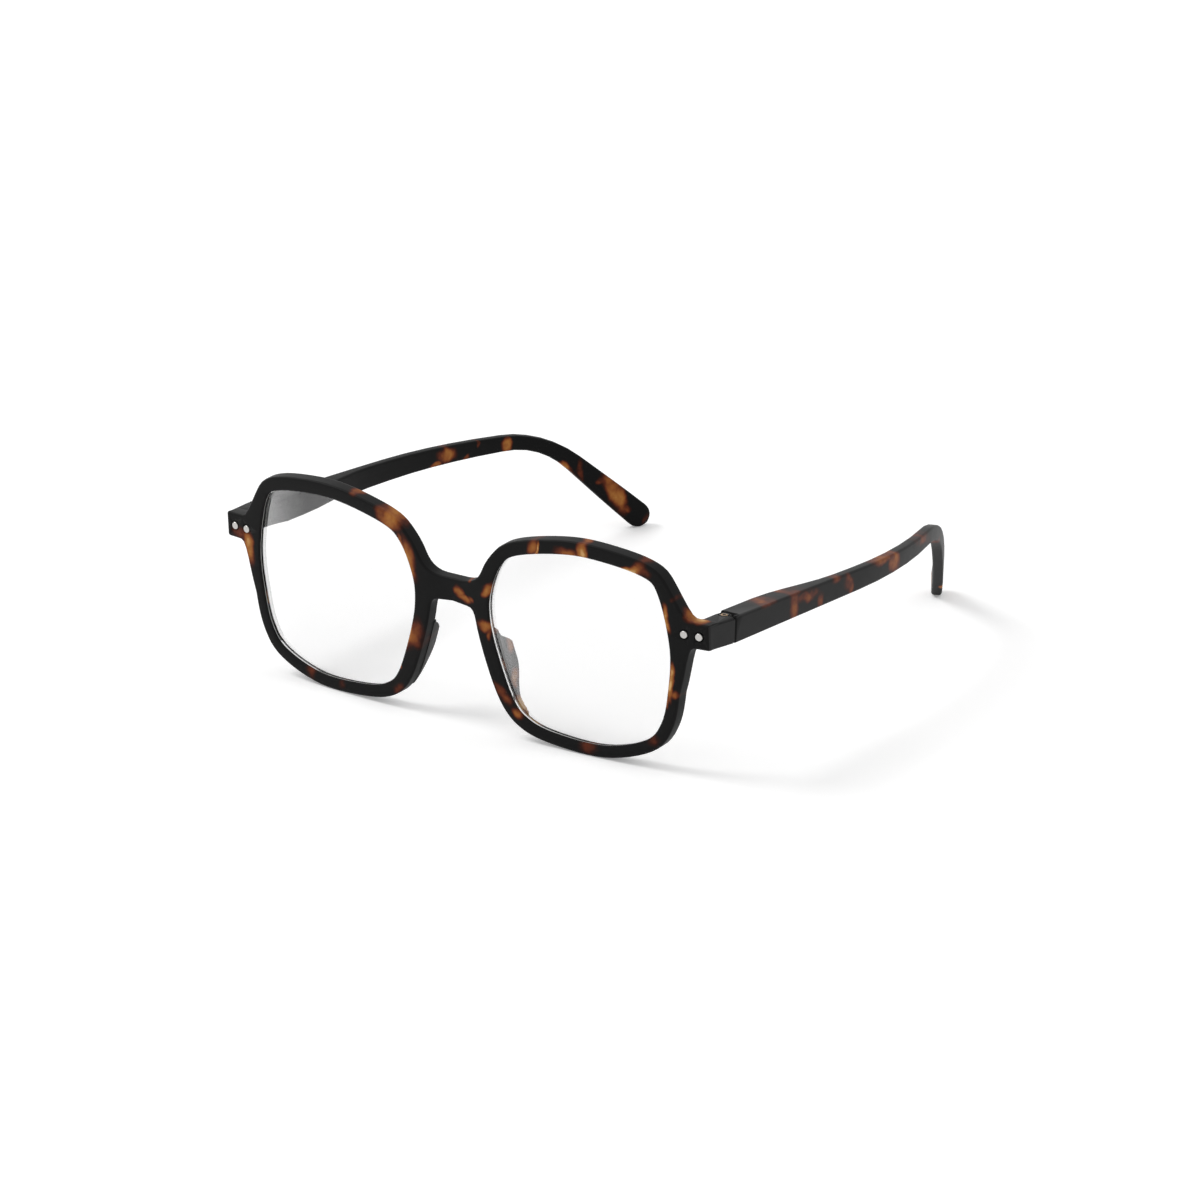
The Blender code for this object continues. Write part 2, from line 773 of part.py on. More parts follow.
def temple_section(along, length):
    """One rounded section of the temple, square to its path, which is bowed towards the head."""
    distance, z, turn = temple_side_path(along)
    bow = max(0.0, distance - temple_bow_start) / temple_bow_radius
    x = hinge_inset - temple_bow_radius * (1 - math.cos(bow))
    y = min(distance, temple_bow_start) + temple_bow_radius * math.sin(bow)
    outward = Vector((math.cos(bow), math.sin(bow), 0))
    up = Vector((-math.sin(turn) * math.sin(bow), math.sin(turn) * math.cos(bow), math.cos(turn)))
    height, thickness = temple_height(along, length), temple_thickness_at(along)
    sag = (end_height - temple_height(min(along, temple_run), length)) / 2
    left = length - along
    if left < temple_tip_rounding:
        share = 1 - left / temple_tip_rounding
        height *= math.sqrt(max(1 - share * share, 0.04))
        thickness *= mixed(1.0, 0.6, share ** 3)
    centre = Vector((x, y, z)) - outward * (thickness / 2) - up * sag
    edge = min(temple_edge_radius, 0.45 * thickness, 0.45 * height)
    ring = []
    for corner in range(4):
        across = (1, -1, -1, 1)[corner] * (thickness / 2 - edge)
        rise = (1, 1, -1, -1)[corner] * (height / 2 - edge)
        for step in (0, 1, 2):
            angle = math.pi / 2 * (corner + step / 2)
            side = outward * (across + edge * math.cos(angle))
            ring.append(centre + side + up * (rise + edge * math.sin(angle)))
    return ring


tip_shares = (0.0, 0.25, 0.5, 0.7, 0.85, 0.94, 1.0)


def tip_sections(length):
    """The sections that round off the tip."""
    start = length - temple_tip_rounding
    return [temple_section(start + share * temple_tip_rounding, length) for share in tip_shares]


def temple_length_to_floor():
    """The length along the temple at which its tip stands on the same floor as the rims."""
    to_world = front_matrix @ hinge_in_front
    floor = (front_edge_radius + wrap(lens_x)) * math.sin(front_lean)
    short, long = bend_end + temple_tip_rounding, 2 * bend_end
    for _ in range(40):
        length = (short + long) / 2
        lowest = min((to_world @ point).z for ring in tip_sections(length) for point in ring)
        if lowest > floor:
            short = length
        else:
            long = length
    return short


temple_length = temple_length_to_floor()


def temple():
    """A temple with the hinge cut-out and the pocket for the spring cartridge."""
    taper_end = pocket_end + temple_taper_length
    tip_start = temple_length - temple_tip_rounding
    stations = [joint_gap / 2, pocket_start, pocket_end]
    for start, end, count in (
        (pocket_end, taper_end, 5),
        (taper_end, temple_run, 6),
        (temple_run, bend_end, 6),
        (bend_end, tip_start, 4),
    ):
        stations += [mixed(start, end, i / count) for i in range(1, count + 1)]
    sections = [temple_section(along, temple_length) for along in stations[:-1]]
    shape = loft(sections + tip_sections(temple_length))
    tall = end_height
    lug_space = box((-2 * lug_radius, -tall, -tall), (swing_radius, pocket_start, tall))
    pocket = box((-pocket_half, 0, -pocket_half), (pocket_half, pocket_end, pocket_half))
    return combined(shape, [("DIFFERENCE", lug_space), ("DIFFERENCE", pocket)])


# Assembly

root = empty("glasses", None, Matrix())
front = empty("front", root, front_matrix)
piece("front_frame", front_frame(), tortoise, front)
for name, side in (("left", 1), ("right", -1)):
    sided = mirrored if side < 0 else lambda part: part
    turned = Matrix.Diagonal((side, 1, 1, 1))
    hinge = empty(f"hinge_axis_{name}", front, turned @ hinge_in_front @ turned)
    piece(f"lens_{name}", sided(lens()), clear_lens, front)
    for place, word in enumerate(("outer", "inner")):
        seat = empty(f"rivet_seat_{name}_{word}", front, turned @ rivet_frame(place) @ turned)
        piece(f"rivet_{name}_{word}", rivet(), satin_silver, seat)
    piece(f"hinge_screw_{name}", sided(hinge_screw()), steel, hinge)
    piece(f"screw_insert_{name}", sided(screw_insert()), brass, hinge)
    piece(f"spring_eye_{name}", sided(spring_eye()), steel, hinge)
    piece(f"spring_collar_{name}", sided(spring_collar()), steel, hinge)
    piece(f"spring_housing_{name}", sided(spring_housing()), steel, hinge)
    flex_spring(f"flex_spring_{name}", hinge, side)
    piece(f"temple_{name}", sided(temple()), tortoise, hinge)

# The origin is on the floor, under the middle of the glasses
bpy.context.view_layer.update()
points = []
for made in bpy.data.objects:
    if made.type == "MESH":
        points += [made.matrix_world @ vertex.co for vertex in made.data.vertices]
middle_y = (min(p.y for p in points) + max(p.y for p in points)) / 2
root.location = (0, -middle_y, -min(p.z for p in points))
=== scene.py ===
"""Looks for the folding reading glasses: tortoise plastic, clear lenses, satin studs, a white studio."""

import math

import bmesh
import bpy
from mathutils import Matrix, Vector
from mathutils.kdtree import KDTree


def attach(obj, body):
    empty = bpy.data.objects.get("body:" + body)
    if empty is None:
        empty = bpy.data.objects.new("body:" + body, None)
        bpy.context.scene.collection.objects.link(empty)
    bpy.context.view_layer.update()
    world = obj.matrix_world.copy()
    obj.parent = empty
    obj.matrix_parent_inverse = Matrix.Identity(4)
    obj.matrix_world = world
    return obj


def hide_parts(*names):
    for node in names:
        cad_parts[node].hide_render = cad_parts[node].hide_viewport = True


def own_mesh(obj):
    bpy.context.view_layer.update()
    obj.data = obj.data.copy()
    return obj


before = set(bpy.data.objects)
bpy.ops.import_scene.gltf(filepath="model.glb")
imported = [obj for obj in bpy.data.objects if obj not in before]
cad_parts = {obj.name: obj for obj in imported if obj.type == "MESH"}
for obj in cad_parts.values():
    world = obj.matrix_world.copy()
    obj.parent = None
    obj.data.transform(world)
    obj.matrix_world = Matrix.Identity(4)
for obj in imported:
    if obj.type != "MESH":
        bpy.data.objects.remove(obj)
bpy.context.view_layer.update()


# The front is one moulding of hard plastic under a soft matte coat. It carries both rims, the
# bridge, the nose pads and the end pieces. Its tortoise pattern runs through the whole thickness.

mm = 0.001


def in_scene(name, data):
    """A new object in the scene, around a mesh, a lamp or a camera."""
    made = bpy.data.objects.new(name, data)
    bpy.context.scene.collection.objects.link(made)
    return made


def apply_modifiers(piece):
    """Makes the evaluated shape of a piece its plain mesh."""
    graph = bpy.context.evaluated_depsgraph_get()
    piece.data = bpy.data.meshes.new_from_object(piece.evaluated_get(graph))
    piece.modifiers.clear()


def smooth_copy(node, sharp_degrees):
    """A merged copy of a CAD node, shaded smooth except at its hard edges."""
    merge_distance = 0.002 * mm
    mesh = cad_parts[node].data.copy()
    shape = bmesh.new()
    shape.from_mesh(mesh)
    bmesh.ops.remove_doubles(shape, verts=shape.verts, dist=merge_distance)
    bmesh.ops.dissolve_degenerate(shape, edges=shape.edges, dist=merge_distance)
    shape.to_mesh(mesh)
    shape.free()
    mesh.shade_smooth()
    mesh.set_sharp_from_angle(angle=math.radians(sharp_degrees))
    mesh.materials.clear()
    copy = in_scene(f"{node}_finished", mesh)
    weighted = copy.modifiers.new("even_shading", "WEIGHTED_NORMAL")
    weighted.keep_sharp = True
    apply_modifiers(copy)
    return copy


def set_shares(piece, name, values, domain="POINT"):
    """Keeps a share from 0 to 1 for each point or face of a piece, for its material to read."""
    piece.data.attributes.new(name, "FLOAT", domain).data.foreach_set("value", values)


def new_material(name):
    """A material, with its node tree and its Principled shader."""
    material = bpy.data.materials.new(name)
    material.use_nodes = True
    return material, material.node_tree, material.node_tree.nodes["Principled BSDF"]


def wired(tree, kind, inputs=None, **settings):
    """A new node with its settings, whose inputs are values or other nodes' outputs."""
    node = tree.nodes.new(kind)
    for name, value in settings.items():
        setattr(node, name, value)
    for name, value in (inputs or {}).items():
        if isinstance(value, bpy.types.NodeSocket):
            tree.links.new(value, node.inputs[name])
        else:
            node.inputs[name].default_value = value
    return node


def colour(hex_code):
    """A linear colour from its sRGB code."""
    parts = [int(hex_code[i:i + 2], 16) / 255 for i in (0, 2, 4)]
    return (*[p / 12.92 if p < 0.04045 else ((p + 0.055) / 1.055) ** 2.4 for p in parts], 1)


def colour_ramp(tree, share, stops):
    """The colour at a share, between the colour codes of the stops."""
    ramp = wired(tree, "ShaderNodeValToRGB", {"Fac": share})
    while len(ramp.color_ramp.elements) < len(stops):
        ramp.color_ramp.elements.new(0.5)
    for element, (stop, code) in zip(ramp.color_ramp.elements, stops):
        element.position = stop
        element.color = colour(code)
    return ramp.outputs["Color"]


def mixed(tree, share, first, second):
    """A colour that goes from the first to the second with the share."""
    mix = wired(tree, "ShaderNodeMix", {0: share, 6: first, 7: second}, data_type="RGBA")
    return mix.outputs[2]


def tortoise_finish():
    """A node group that turns warmth, from 0 for black to 1 for honey, into the plastic's surface."""
    group = bpy.data.node_groups.new("tortoise_finish", "ShaderNodeTree")
    group.interface.new_socket("Place", in_out="INPUT", socket_type="NodeSocketVector")
    group.interface.new_socket("Warmth", in_out="INPUT", socket_type="NodeSocketFloat")
    group.interface.new_socket("Thin Edge Glow", in_out="INPUT", socket_type="NodeSocketFloat")
    for name, kind in (("Colour", "Color"), ("Roughness", "Float"), ("Grain", "Float")):
        group.interface.new_socket(name, in_out="OUTPUT", socket_type=f"NodeSocket{kind}")
    source = group.nodes.new("NodeGroupInput")
    target = group.nodes.new("NodeGroupOutput")
    place = source.outputs["Place"]
    streaks = wired(group, "ShaderNodeTexNoise", {"Vector": place, "Scale": 320, "Detail": 3})
    swing = wired(group, "ShaderNodeMapRange", {"Value": streaks.outputs["Fac"], "From Min": 0.3,
                                                "From Max": 0.7, "To Min": 0.74, "To Max": 1.22})
    # The thin edge share lifts the warmth up to 1.4 times: a painted glow of light through thin plastic.
    glow = wired(group, "ShaderNodeMapRange", {"Value": source.outputs["Thin Edge Glow"], "To Min": 1.0,
                                               "To Max": 1.4})
    lift = wired(group, "ShaderNodeMath", {0: swing.outputs["Result"], 1: glow.outputs["Result"]},
                 operation="MULTIPLY")
    warmth = wired(group, "ShaderNodeMath", {0: source.outputs["Warmth"], 1: lift.outputs[0]},
                   operation="MULTIPLY")
    warm_colours = ((0.0, "0f0f0f"), (0.18, "101010"), (0.3, "2c130c"), (0.44, "5c2a18"), (0.6, "8a4f26"),
                    (0.8, "a36b34"), (1.0, "cfa46c"))
    tint = colour_ramp(group, warmth.outputs[0], warm_colours)
    grain = wired(group, "ShaderNodeTexNoise", {"Vector": place, "Scale": 9000, "Detail": 2})
    rough = wired(group, "ShaderNodeMapRange", {"Value": streaks.outputs["Fac"], "To Min": 0.42,
                                                "To Max": 0.5})
    group.links.new(tint, target.inputs["Colour"])
    group.links.new(rough.outputs["Result"], target.inputs["Roughness"])
    group.links.new(grain.outputs["Fac"], target.inputs["Grain"])
    return group


finish_group = tortoise_finish()


def tortoise(name, patches, across_axis, shine, core):
    """The tortoise plastic of one piece, with its warm patches on black.

    A patch is its place along the piece and up, its half sizes in the same order, the degrees that its
    top leans along the piece, and its warmth. A patch that stays on one side of the piece then has its
    place and half size through the thickness. All lengths are in millimetres. The core is how deep into
    a patch its full warmth starts, from 0 at its edge to 1 at its centre."""
    fade_reach = 2.0
    edge_start = 0.06
    blend = 0.14
    ripple_reach = 4.0 * mm
    material, tree, shader = new_material(name)
    place = wired(tree, "ShaderNodeTexCoord").outputs["Object"]
    ripple = wired(tree, "ShaderNodeTexNoise", {"Vector": place, "Scale": 170, "Detail": 2.5,
                                                "Roughness": 0.45})
    centred = wired(tree, "ShaderNodeVectorMath", {0: ripple.outputs["Color"], 1: (0.5, 0.5, 0.5)},
                    operation="SUBTRACT")
    warped = wired(tree, "ShaderNodeVectorMath", {0: centred.outputs[0], 1: [ripple_reach] * 3, 2: place},
                   operation="MULTIPLY_ADD").outputs[0]
    turn_axis = 1 - across_axis
    warmth = None
    for across, up, half_across, half_up, lean, heat, *through in patches:
        centre, size, spin = [0.0] * 3, [1.0] * 3, [0.0] * 3
        centre[across_axis], centre[2] = across * mm, up * mm
        size[across_axis], size[2] = fade_reach * half_across * mm, fade_reach * half_up * mm
        if through:
            centre[turn_axis], size[turn_axis] = through[0] * mm, fade_reach * through[1] * mm
        spin[turn_axis] = math.radians(lean if across_axis == 0 else -lean)
        there = wired(tree, "ShaderNodeMapping", {"Vector": warped, "Location": centre, "Rotation": spin,
                                                  "Scale": size}, vector_type="TEXTURE")
        spot = wired(tree, "ShaderNodeTexGradient", {"Vector": there.outputs[0]}, gradient_type="SPHERICAL")
        level = wired(tree, "ShaderNodeMapRange", {"Value": spot.outputs["Fac"], "From Min": edge_start,
                                                   "From Max": core, "To Max": heat},
                      interpolation_type="SMOOTHSTEP").outputs["Result"]
        if warmth is not None:
            level = wired(tree, "ShaderNodeMath", {0: warmth, 1: level, 2: blend},
                          operation="SMOOTH_MAX").outputs[0]
        warmth = level
    finish = wired(tree, "ShaderNodeGroup", {"Place": place, "Warmth": warmth}, node_tree=finish_group)
    finish.name = "finish"
    tree.links.new(finish.outputs["Colour"], shader.inputs["Base Color"])
    tree.links.new(finish.outputs["Roughness"], shader.inputs["Roughness"])
    shader.inputs["Specular IOR Level"].default_value = shine
    bump = wired(tree, "ShaderNodeBump", {"Height": finish.outputs["Grain"], "Strength": 0.08,
                                          "Distance": 0.02 * mm})
    tree.links.new(bump.outputs["Normal"], shader.inputs["Normal"])
    return material


front_patches = (
    # The rim at the wearer's right
    (-66.6, 34.2, 3.6, 1.5, 0, 0.42),
    (-63.6, 31.0, 1.8, 4.5, -8, 0.74),
    (-59.9, 18.4, 1.0, 2.0, 0, 0.8, -67.0, 1.0),
    (-28.6, 53.2, 1.8, 1.5, 0, 0.6),
    (-17.8, 49.2, 3.6, 2.8, 26, 0.74),
    (-12.1, 40.4, 1.9, 5.2, -20, 0.6),
    (-13.4, 40.2, 0.7, 4.6, -20, 0.84),
    (-11.6, 20.6, 2.5, 5.2, 20, 0.45),
    (-12.9, 20.4, 1.0, 4.4, 14, 0.66),
    (-16.2, 10.8, 0.8, 0.8, 0, 0.42),
    (-17.2, 5.6, 1.1, 2.5, 30, 0.38),
    (-45.2, 2.8, 1.8, 1.9, 0, 0.28),
    (-35.0, 2.2, 1.8, 1.9, 0, 0.27),
    # The bridge
    (2.4, 34.1, 1.1, 1.9, -12, 0.72),
    (3.4, 32.8, 1.7, 0.9, 6, 0.68),
    (5.1, 33.2, 1.1, 0.7, 0, 0.44),
    (5.0, 38.0, 0.8, 0.6, 0, 0.56),
    # The rim at the wearer's left
    (10.3, 37.0, 2.0, 1.1, -48, 0.58),
    (9.2, 27.9, 2.1, 1.6, 0, 0.6),
    (10.4, 25.4, 0.9, 1.6, 0, 0.42),
    (13.9, 10.6, 3.0, 1.6, 40, 0.46),
    (18.2, 6.8, 1.8, 1.4, 30, 0.5),
    (24.3, 50.6, 1.2, 2.8, 8, 0.52),
    (25.4, 50.2, 0.5, 2.2, 8, 0.8),
    (33.6, 51.0, 3.2, 1.5, 0, 0.45),
    (37.4, 52.0, 1.3, 2.4, 6, 0.72),
    (50.6, 48.8, 3.6, 1.4, -14, 0.84),
    (54.0, 50.6, 2.0, 2.2, -25, 0.5),
    (59.9, 39.2, 0.9, 3.2, -8, 0.66),
    (62.0, 43.6, 1.0, 1.0, 0, 0.34),
    (66.8, 40.4, 3.0, 1.8, 0, 1.0, -67.8, 2.4),
    (60.7, 23.4, 0.8, 4.4, 0, 0.84),
    (61.8, 20.4, 1.2, 0.9, -30, 0.46),
    (59.6, 18.0, 0.8, 1.9, 15, 0.52),
    (56.5, 7.2, 2.4, 1.7, -35, 0.37),
    (38.4, 2.0, 3.4, 1.8, 0, 0.33),
    # The nose pad at the wearer's left
    (12.8, 21.6, 1.4, 1.6, 0, 0.8, -67.3, 1.2),
    (13.2, 17.6, 1.4, 1.8, 0, 0.46, -70.8, 1.2),
    (14.9, 14.6, 1.6, 1.9, 0, 0.8, -67.6, 1.5),
    (17.8, 8.2, 2.6, 2.6, 40, 0.95, -69.0, 1.8),
    (20.8, 5.4, 2.6, 1.8, 25, 0.9, -69.2, 1.6),
)

# Painted light: a warm glow on the thin plastic beside a lens, and a pale highlight on the lip the lens
# sits on.
edge_reach = 3.0 * mm
edge_fade = 1.6 * mm
seat_reach = 1.1 * mm
seat_nearest = 0.4 * mm
seat_farthest = 0.6 * mm
seat_highlight_grey = "d6d6d3"
# The outer sides of the end pieces are painted a greyer black, a painted sheen.
end_piece_start = 70 * mm
turned_out = 0.7
side_sheen_grey = "2a2a2a"

lens_places = [v.co for side in ("left", "right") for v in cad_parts[f"lens_{side}"].data.vertices]
lens_points = KDTree(len(lens_places))
for count, place in enumerate(lens_places):
    lens_points.insert(place, count)
lens_points.balance()
front = smooth_copy("front_frame", sharp_degrees=50)
thin_edge_glow = [0.0] * len(front.data.vertices)
lens_seat_highlight = [0.0] * len(front.data.vertices)
for vertex in front.data.vertices:
    lens_place, _, distance = lens_points.find(vertex.co)
    ahead = lens_place.y - vertex.co.y
    thin_edge_glow[vertex.index] = min(max((edge_reach - distance) / edge_fade, 0.0), 1.0)
    lens_seat_highlight[vertex.index] = float(distance < seat_reach and seat_nearest < ahead < seat_farthest)
outer_side_sheen = [float(abs(face.center.x) > end_piece_start and abs(face.normal.x) > turned_out)
              for face in front.data.polygons]
set_shares(front, "thin_edge_glow", thin_edge_glow)
set_shares(front, "lens_seat_highlight", lens_seat_highlight)
set_shares(front, "outer_side_sheen", outer_side_sheen, "FACE")
front_material = tortoise("front_tortoise", front_patches, across_axis=0, shine=0.09, core=0.95)
front_tree = front_material.node_tree
front_shader = front_tree.nodes["Principled BSDF"]
front_finish = front_tree.nodes["finish"]
# Near each lens the plastic gets a painted warm glow of light through the thin plastic.
edge_share = wired(front_tree, "ShaderNodeAttribute", attribute_name="thin_edge_glow")
front_tree.links.new(edge_share.outputs["Fac"], front_finish.inputs["Thin Edge Glow"])
# A lighter grey is painted on the end pieces' outer sides: a painted sheen.
side_share = wired(front_tree, "ShaderNodeAttribute", attribute_name="outer_side_sheen")
side_sheen_mix = mixed(front_tree, side_share.outputs["Fac"], front_finish.outputs["Colour"], colour(side_sheen_grey))
# The lip behind each lens is painted pale grey: a painted highlight on the black plastic.
seat_share = wired(front_tree, "ShaderNodeAttribute", attribute_name="lens_seat_highlight")
seat_edge = wired(front_tree, "ShaderNodeMapRange", {"Value": seat_share.outputs["Fac"], "From Min": 0.4,
                                                     "From Max": 0.9})
seat_highlight_mix = mixed(front_tree, seat_edge.outputs["Result"], side_sheen_mix, colour(seat_highlight_grey))
front_tree.links.new(seat_highlight_mix, front_shader.inputs["Base Color"])
front.data.materials.append(front_material)
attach(front, "front")
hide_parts("front_frame")


# The two lenses are thin curved plates of clear acrylic, polished on both faces. Each snaps
# from behind into the groove in its rim.

def lens_material():
    """Clear acrylic under a mirror-like coat that fades from one end of the lens towards the other: a
    painted reflection.
    """
    material, tree, shader = new_material("polished_acrylic")
    shader.inputs["Base Color"].default_value = (0.92, 0.92, 0.92, 1)
    shader.inputs["Roughness"].default_value = 0.02
    shader.inputs["IOR"].default_value = 1.49
    shader.inputs["Coat IOR"].default_value = 2.0
    # The coat's weight falls from one end of the lens to the other: a painted reflection.
    across = wired(tree, "ShaderNodeAttribute", attribute_name="across")
    coat = wired(tree, "ShaderNodeMapRange", {"Value": across.outputs["Fac"], "From Max": 0.36,
                                              "To Min": 1.0, "To Max": 0.05},
                 interpolation_type="SMOOTHSTEP")
    tree.links.new(coat.outputs["Result"], shader.inputs["Coat Weight"])
    shader.inputs["Transmission Weight"].default_value = 1.0
    light_path = wired(tree, "ShaderNodeLightPath")
    clear = wired(tree, "ShaderNodeBsdfTransparent", {"Color": (0.97, 0.97, 0.97, 1)})
    mix = wired(tree, "ShaderNodeMixShader", {"Fac": light_path.outputs["Is Shadow Ray"]})
    tree.links.new(shader.outputs[0], mix.inputs[1])
    tree.links.new(clear.outputs[0], mix.inputs[2])
    tree.links.new(mix.outputs[0], tree.nodes["Material Output"].inputs["Surface"])
    return material


acrylic = lens_material()
for side in ("left", "right"):
    lens = smooth_copy(f"lens_{side}", sharp_degrees=40)
    along = [vertex.co.x for vertex in lens.data.vertices]
    set_shares(lens, "across", [(x - min(along)) / (max(along) - min(along)) for x in along])
    lens.data.materials.append(acrylic)
    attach(lens, "front")
    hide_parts(f"lens_{side}")


# Four plated studs, two on each end piece, are pressed into blind holes from the front. Each
# has a low domed head with a fine turned ring.

def metal(name, code, roughness):
    """A metal with a faint cloudy grain in its roughness and its surface."""
    roughness_swing = 0.06
    material, tree, shader = new_material(name)
    place = wired(tree, "ShaderNodeTexCoord").outputs["Object"]
    cloud = wired(tree, "ShaderNodeTexNoise", {"Vector": place, "Scale": 2600, "Detail": 3})
    rough = wired(tree, "ShaderNodeMapRange", {"Value": cloud.outputs["Fac"],
                                               "To Min": roughness - roughness_swing,
                                               "To Max": roughness + roughness_swing})
    shader.inputs["Base Color"].default_value = colour(code)
    shader.inputs["Metallic"].default_value = 1.0
    tree.links.new(rough.outputs["Result"], shader.inputs["Roughness"])
    bump = wired(tree, "ShaderNodeBump", {"Height": cloud.outputs["Fac"], "Strength": 0.05,
                                          "Distance": 0.02 * mm})
    tree.links.new(bump.outputs["Normal"], shader.inputs["Normal"])
    return material


def stud_tree():
    """A node tree that sets one turned stud on each point, along the point's axis."""
    tree = bpy.data.node_groups.new("studs", "GeometryNodeTree")
    for name, kind in (("Points", "Geometry"), ("Head Radius", "Float"), ("Head Height", "Float"),
                       ("Metal", "Material")):
        tree.interface.new_socket(name, in_out="INPUT", socket_type=f"NodeSocket{kind}")
    tree.interface.new_socket("Studs", in_out="OUTPUT", socket_type="NodeSocketGeometry")
    given = tree.nodes.new("NodeGroupInput").outputs
    # Each pair is a height, in head heights over the plastic, and a radius, in head radii.
    profile = ((-1.5, 0.0), (-1.5, 1.0), (0.5, 1.0), (0.85, 0.92), (0.92, 0.52), (0.86, 0.48), (0.86, 0.44),
               (0.96, 0.4), (1.0, 0.0))
    joined = tree.nodes.new("GeometryNodeJoinGeometry")
    for (low, low_radius), (high, high_radius) in zip(profile, profile[1:]):
        band = wired(tree, "GeometryNodeMeshCone", {"Vertices": 48, "Radius Bottom": low_radius,
                                                    "Radius Top": high_radius, "Depth": high - low},
                     fill_type="NONE")
        raised = wired(tree, "GeometryNodeTransform", {"Geometry": band.outputs["Mesh"],
                                                       "Translation": (0, 0, low)})
        tree.links.new(raised.outputs[0], joined.inputs[0])
    stud = wired(tree, "GeometryNodeMergeByDistance", {"Geometry": joined.outputs[0], "Distance": 0.001})
    size = wired(tree, "ShaderNodeCombineXYZ", {"X": given["Head Radius"], "Y": given["Head Radius"],
                                                "Z": given["Head Height"]})
    sized = wired(tree, "GeometryNodeTransform", {"Geometry": stud.outputs[0], "Scale": size.outputs[0]})
    axis = wired(tree, "GeometryNodeInputNamedAttribute", {"Name": "axis"}, data_type="FLOAT_VECTOR")
    turn = wired(tree, "FunctionNodeAlignRotationToVector", {"Vector": axis.outputs["Attribute"]}, axis="Z")
    placed = wired(tree, "GeometryNodeInstanceOnPoints", {"Points": given["Points"],
                                                          "Instance": sized.outputs[0],
                                                          "Rotation": turn.outputs[0]})
    solid = wired(tree, "GeometryNodeRealizeInstances", {"Geometry": placed.outputs[0]})
    plated = wired(tree, "GeometryNodeSetMaterial", {"Geometry": solid.outputs[0],
                                                     "Material": given["Metal"]})
    tree.links.new(plated.outputs[0], tree.nodes.new("NodeGroupOutput").inputs[0])
    return tree


def stud_places(nodes, head_height):
    """Where the head of each CAD stud stands, and which way it faces."""
    front_facing = -0.2
    places, axes = [], []
    for node in nodes:
        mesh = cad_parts[node].data
        axis = Vector()
        for face in mesh.polygons:
            if face.normal.y < front_facing:
                axis += face.normal * face.area
        axis.normalize()
        middle = sum((v.co for v in mesh.vertices), Vector()) / len(mesh.vertices)
        proud = max((v.co - middle).dot(axis) for v in mesh.vertices)
        places.append(middle + axis * (proud - head_height))
        axes.append(axis)
    return places, axes


satin_silver = metal("satin_silver_plate", "bdbbb8", roughness=0.34)
stud_nodes = [f"rivet_{side}_{place}" for side in ("left", "right") for place in ("outer", "inner")]
head_radius = 0.92 * mm
head_height = 0.3 * mm
places, axes = stud_places(stud_nodes, head_height)
stud_mesh = bpy.data.meshes.new("studs")
stud_mesh.from_pydata(places, [], [])
stud_mesh.attributes.new("axis", "FLOAT_VECTOR", "POINT")
stud_mesh.attributes["axis"].data.foreach_set("vector", [part for axis in axes for part in axis])
studs = in_scene("studs", stud_mesh)
turning = studs.modifiers.new("studs", "NODES")
turning.node_group = stud_tree()
sizes = {"Head Radius": head_radius, "Head Height": head_height, "Metal": satin_silver}
for socket in turning.node_group.interface.items_tree:
    if socket.name in sizes:
        turning[socket.identifier] = sizes[socket.name]
apply_modifiers(studs)
studs.data.shade_smooth()
studs.data.set_sharp_from_angle(angle=math.radians(30))
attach(studs, "front")
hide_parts(*stud_nodes)


# Each hinge is a slotted steel screw in a brass insert. The steel eye turns on it, and its rod
# carries a coil spring and a collar inside a square steel sleeve in the temple. The spring is
# pressed shorter against the collar as the temple slides back.

def ringed_screw():
    """Blackened steel with a bare brass-coloured ring on the head, about both screws' axes."""
    black = "1a1918"
    bare = "b08f68"
    head_middle = (68.45 * mm, 59.87 * mm, 0)
    head_radius = 1.2 * mm
    material = metal("blackened_screw", black, roughness=0.4)
    tree = material.node_tree
    place = wired(tree, "ShaderNodeTexCoord").outputs["Object"]
    mirrored = wired(tree, "ShaderNodeVectorMath", {0: place}, operation="ABSOLUTE")
    offset = wired(tree, "ShaderNodeVectorMath", {0: mirrored.outputs[0], 1: head_middle},
                   operation="SUBTRACT")
    flat = wired(tree, "ShaderNodeVectorMath", {0: offset.outputs[0], 1: (1, 1, 0)}, operation="MULTIPLY")
    radius = wired(tree, "ShaderNodeVectorMath", {0: flat.outputs[0]}, operation="LENGTH")
    share = wired(tree, "ShaderNodeMapRange", {"Value": radius.outputs["Value"], "From Max": head_radius})
    ring = colour_ramp(tree, share.outputs["Result"], ((0.0, black), (0.42, black), (0.48, bare),
                                                       (0.66, bare), (0.72, black)))
    tree.links.new(ring, tree.nodes["Principled BSDF"].inputs["Base Color"])
    return material


hinge_steel = metal("hinge_steel_turned", "b4b4b2", roughness=0.34)
brass = metal("brass_turned", "c99b52", roughness=0.32)
hinge_metals = {"screw_insert": brass, "hinge_screw": ringed_screw()}
for side in ("left", "right"):
    for body, node in (("front", "hinge_screw"), ("front", "screw_insert"), (f"hinge_{side}", "spring_eye"),
                       (f"hinge_{side}", "spring_collar"), (f"hinge_{side}", "flex_spring"),
                       (f"arm_{side}", "spring_housing")):
        made = smooth_copy(f"{node}_{side}", sharp_degrees=50)
        made.data.materials.append(hinge_metals.get(node, hinge_steel))
        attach(made, body)
        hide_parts(f"{node}_{side}")
        if node == "flex_spring":
            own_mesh(made)


# The temples are mouldings of the same plastic as the front. Each is thick over its spring, then
# thin and bowed, and bends down behind the ear to a rounded tip.

